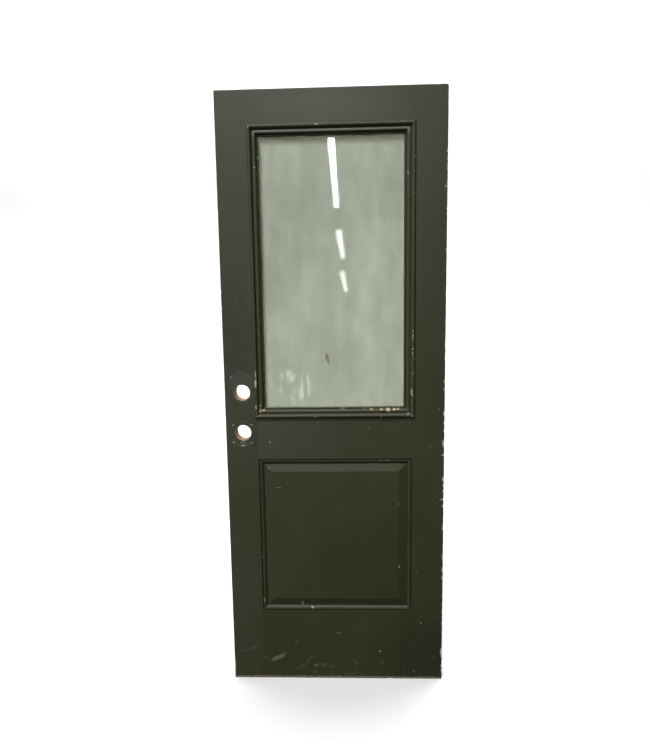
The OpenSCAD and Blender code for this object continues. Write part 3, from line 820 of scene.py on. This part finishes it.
# %% Make the glass
GLASS_CLEAR = (0.62, 0.645, 0.575, 1)
GLASS_DUSTY = (0.50, 0.52, 0.455, 1)
GLASS_STAIN = (0.16, 0.10, 0.045, 1)
GLASS_PAINTED_SHADOW = (0.34, 0.345, 0.285, 1)
GLASS_SMUDGE = (0.84, 0.86, 0.80, 1)
GLASS_IOR = 1.5
GLASS_PASSING = 0.94
GLASS_BLUR = 0.016
FILM_BLUR = 0.03
SHADOW_TOP = (1.856, 1.891)
SHADOW_LEFT = (-0.223, -0.239)
FRONT_PANE = (0.0, -0.002)
FINGER_LINES = (0.36, 0.62)
SETTLED_HEIGHT = (1.9, 1.0)
SETTLED_MORE = 0.2
WIPED_WEIGHT = 0.5
DUST_RANGE = (0.45, 1.25)
MARK_SHARE = 0.7
STAINS = [(-24, 1172, 6, 14, -10), (-19, 1158, 5, 10, 10)]
SMUDGES = [
    (-160, 1104, 46, 30, 0), (-140, 1036, 24, 46, 0), (-188, 1072, 14, 55, 0), (-100, 1060, 34, 60, -15),
]

glass = Finish("float_glass")
film = glass.cloud(scale=6.0, stretch=(1, 1, 0.5), detail=6.0)
wiped = glass.cloud(scale=30.0, stretch=(1, 1, 0.35), detail=5.0)
fingers = glass.cloud(scale=70.0, stretch=(1, 1, 0.3), detail=5.0)
fingered = glass.ramp(fingers, *FINGER_LINES)
front = glass.ramp(glass.y, *FRONT_PANE)
glass.place = glass.add(
    "ShaderNodeCombineXYZ", {"X": glass.x, "Y": MARK_FACE, "Z": glass.z}
).outputs["Vector"]
smudge = soft_marks(glass, SMUDGES, glass.swing(wiped, width=1.4))
smudge = both(glass, both(glass, smudge, front), fingered)
stain = both(glass, soft_marks(glass, STAINS, glass.swing(wiped, width=1.2)), front)
settled = glass.calc("MULTIPLY_ADD", glass.ramp(glass.z, *SETTLED_HEIGHT), SETTLED_MORE, film)
dust = glass.ramp(glass.calc("MULTIPLY_ADD", wiped, WIPED_WEIGHT, settled), *DUST_RANGE)
# Painted shadow: the glass is darker along its top and left border.
glass_shadow = either(glass, glass.ramp(glass.z, *SHADOW_TOP), glass.ramp(glass.x, *SHADOW_LEFT))

glass_colour = glass.tint(dust, GLASS_CLEAR, GLASS_DUSTY)
glass_colour = glass.tint(glass.calc("MULTIPLY", smudge, MARK_SHARE), glass_colour, GLASS_SMUDGE)
glass_colour = glass.tint(glass_shadow, glass_colour, GLASS_PAINTED_SHADOW)
glass_colour = glass.tint(glass.calc("MULTIPLY", stain, MARK_SHARE), glass_colour, GLASS_STAIN)
blur = glass.calc("MULTIPLY_ADD", dust, FILM_BLUR, GLASS_BLUR)
blur = glass.calc("MULTIPLY_ADD", smudge, FILM_BLUR, blur)
glass.use(Base_Color=glass_colour, Roughness=blur, IOR=GLASS_IOR, Transmission_Weight=GLASS_PASSING)
print("glass nodes", len(glass.tree.nodes))

# %% [markdown]
# ## Hidden materials
# Inside the leaf are beech dowels, an aluminium spacer bar, a butyl edge seal, rubber setting blocks,
# foam tape and steel brads. They show only at the edge of the glass or when the leaf is taken apart, so
# each one has just the grain of its own stuff.

# %% Make the hidden materials
EVEN = (1, 1, 1)
STUFF_DETAIL = 4.0
ROUGH_SPREAD = 0.2
STUFF_BUMP = 0.15
STUFF_DEPTH = 0.0003


def grey(value):
    return (value, value, value, 1)


def stuff(name, low, high, scale, stretch, roughness, metal=0.0):
    made = Finish(name)
    cloud = made.cloud(scale, stretch, STUFF_DETAIL)
    made.use(
        Base_Color=made.tint(cloud, low, high),
        Roughness=made.calc("MULTIPLY_ADD", cloud, ROUGH_SPREAD, roughness - ROUGH_SPREAD / 2),
        Metallic=metal,
    )
    made.relief(cloud, STUFF_BUMP, STUFF_DEPTH)
    return made.material


hidden = {
    "joint_dowels": stuff("beech", (0.42, 0.26, 0.13, 1), (0.58, 0.40, 0.22, 1), 400, (0.04, 1, 1), 0.7),
    "pane_spacer": stuff(
        "spacer_metal", (0.50, 0.50, 0.48, 1), (0.66, 0.66, 0.64, 1), 300, (1, 1, 0.05), 0.35, metal=1.0
    ),
    "edge_sealant": stuff("butyl_seal", grey(0.012), grey(0.03), 120, EVEN, 0.6),
    "setting_blocks": stuff("block_rubber", grey(0.02), grey(0.045), 200, EVEN, 0.8),
    "tape": stuff("foam_tape", (0.05, 0.05, 0.045, 1), (0.09, 0.09, 0.08, 1), 500, EVEN, 0.9),
    "brads": stuff("brad_steel", (0.30, 0.29, 0.28, 1), (0.42, 0.41, 0.40, 1), 900, EVEN, 0.4, metal=1.0),
}
print("hidden finishes", sorted(hidden))

# %% [markdown]
# ## Arrises
# A leaf that has been carried about loses its sharp edges first. In the packed model each outer edge is
# a narrow chamfer. Such a face is known by two equal parts in its normal, by its length, and by its
# place on the outline of the leaf.

# %% Find the arrises
CHAMFER_PART = 0.69
LONG_EDGE = 0.06
OUTLINE = 0.0017


def on_outline(v):
    ends = v.co.z < OUTLINE or v.co.z > LEAF_TOP - OUTLINE or abs(v.co.x) > HALF_WIDTH - OUTLINE
    return ends and abs(v.co.y) > HALF_THICK - OUTLINE


def is_arris(face):
    parts = sorted(abs(v) for v in face.normal)
    long_enough = max(e.calc_length() for e in face.edges) > LONG_EDGE
    return parts[1] > CHAMFER_PART and long_enough and all(on_outline(v) for v in face.verts)


print("outline within mm", 1000 * OUTLINE)

# %% [markdown]
# ### What is lost
# Paint and wood break off in small scoops, deepest at the foot and along the lower part of the hinge
# edge. Three noises of different sizes make scoops, chips and crumbs. A threshold leaves long runs
# whole, because a real edge is never worn evenly.

# %% Measure the loss
FOOT_HEIGHT = 0.03
DRAGGED_HEIGHT = 1.3
FOOT_LOSS = 0.0032
DRAGGED_LOSS = 0.0036
HINGE_LOSS = 0.0020
LOCK_LOSS = 0.0014
DRAGGED_HOLD = 0.45
OTHER_HOLD = 0.95
SCOOP_GAIN = 2.4
SCOOP_SCALE = 45
CHIP_SCALE = 160
CHIP_WEIGHT = 0.6
CRUMB_SCALE = 300
CRUMB_WEIGHT = 0.05


def is_dragged(place):
    """The lower part of the hinge edge has suffered most."""
    return place.x > 0 and place.z < DRAGGED_HEIGHT


def reach_at(place):
    if place.z < FOOT_HEIGHT:
        return FOOT_LOSS
    if is_dragged(place):
        return DRAGGED_LOSS
    return HINGE_LOSS if place.x > 0 else LOCK_LOSS


def scoop(place):
    """The share of the reach that has gone at this place."""
    rough = noise.noise(place * SCOOP_SCALE) + CHIP_WEIGHT * noise.noise(place * CHIP_SCALE)
    hold = DRAGGED_HOLD if is_dragged(place) else OTHER_HOLD
    gone = min(1.0, max(0.0, SCOOP_GAIN * rough - hold))
    return gone + CRUMB_WEIGHT * abs(noise.noise(place * CRUMB_SCALE))


print("deepest loss in mm", 1000 * max(FOOT_LOSS, DRAGGED_LOSS))

# %% [markdown]
# ### Broken boards
# We copy a board's mesh, merge its loose triangles and cut each long chamfer into short facets. Every
# cut is then pushed back inside its own face, so that the face stays flat and only its border turns
# ragged. The facets that moved far are marked in an attribute, which the paint reads as bare.

# %% Break the arrises
FACET = 0.0055
FLAT_ANGLE = math.radians(0.1)
SAME_PLACE = 1e-6
BARE_DEPTH = 0.0007
FACET_AREA = 4e-5


def cut_arris(bm, arris, loss_layer):
    """Cut one chamfer into facets, and note at each cut how far it moves inside its own face."""
    normal = arris.normal.copy()
    sides = [i for i in range(3) if abs(normal[i]) > CHAMFER_PART]
    outer = max(v.co[sides[0]] * normal[sides[0]] for v in arris.verts)
    long_edges = sorted(arris.edges, key=lambda e: e.calc_length())[-2:]
    cuts = round(long_edges[0].calc_length() / FACET)
    made = bmesh.ops.subdivide_edges(bm, edges=long_edges, cuts=cuts, use_grid_fill=True)
    for v in (g for g in made["geom_inner"] if isinstance(g, bmesh.types.BMVert)):
        on_first = v.co[sides[0]] * normal[sides[0]] > outer - SAME_PLACE
        moving = sides[1] if on_first else sides[0]
        loss = Vector()
        loss[moving] = math.copysign(reach_at(v.co) * scoop(v.co), normal[moving])
        v[loss_layer] = loss


def break_arrises(node, finish):
    bm = bmesh.new()
    bm.from_mesh(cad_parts[node].data)
    bmesh.ops.remove_doubles(bm, verts=bm.verts, dist=SAME_PLACE)
    bmesh.ops.dissolve_limit(bm, angle_limit=FLAT_ANGLE, verts=bm.verts, edges=bm.edges)
    bare = bm.faces.layers.float.new("bare")
    loss_layer = bm.verts.layers.float_vector.new("loss")
    while arris := next((f for f in bm.faces if is_arris(f)), None):
        cut_arris(bm, arris, loss_layer)
    for v in bm.verts:
        v.co -= v[loss_layer]
        for face in v.link_faces:
            if v[loss_layer].length > BARE_DEPTH and face.calc_area() < FACET_AREA:
                face[bare] = 1.0
    bm.verts.layers.float_vector.remove(loss_layer)
    bm.normal_update()
    piece = object_from(bm, "worn_" + node)
    piece.data.materials.append(finish)
    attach(piece, "root")
    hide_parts(node)
    return piece


worn_boards = [
    break_arrises("hinge_stile", stile_paint),
    break_arrises("lock_stile", stile_paint),
    break_arrises("bottom_rail", rail_paint),
    break_arrises("top_rail", rail_paint),
]
print("worn boards", {p.name: len(p.data.polygons) for p in worn_boards})

# %% [markdown]
# ## Dress the pieces
# Each node of the model keeps its shape and gets the finish that its real piece has. Mouldings that run
# level and mouldings that stand upright differ only in the direction of the brush.

# %% Give every node its finish
def finish_for(name):
    if name in ("front_pane", "back_pane"):
        return glass.material
    if name == "raised_panel":
        return panel_paint
    if "moulding" in name:
        return level_moulding if name.endswith(("_top", "_bottom")) else upright_moulding
    if name.endswith("_stile"):
        return stile_paint
    if name.endswith("_rail"):
        return rail_paint
    if name.endswith("_tape"):
        return hidden["tape"]
    if name.endswith("_brads"):
        return hidden["brads"]
    return hidden[name]


for name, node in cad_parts.items():
    node.data.materials.clear()
    node.data.materials.append(finish_for(name))
print("dressed nodes", len(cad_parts))

# %% [markdown]
# ## Paper of the sweep
# Studio paper is never quite even, so it gets a weak cloud instead of one flat white.

# %% Make the sweep pale
PAPER_CLOUD = 2.0
PAPER_ROUGH = 0.95

sweep_finish = Finish("sweep_paper")
paper_colour = sweep_finish.tint(sweep_finish.cloud(PAPER_CLOUD), grey(0.90), grey(0.93))
sweep_finish.use(Base_Color=paper_colour, Roughness=PAPER_ROUGH)
sweep.data.materials.append(sweep_finish.material)
print("sweep finish", sweep_finish.material.name)

# %% [markdown]
# ## Finish
# The dressing must not change the size of the leaf.
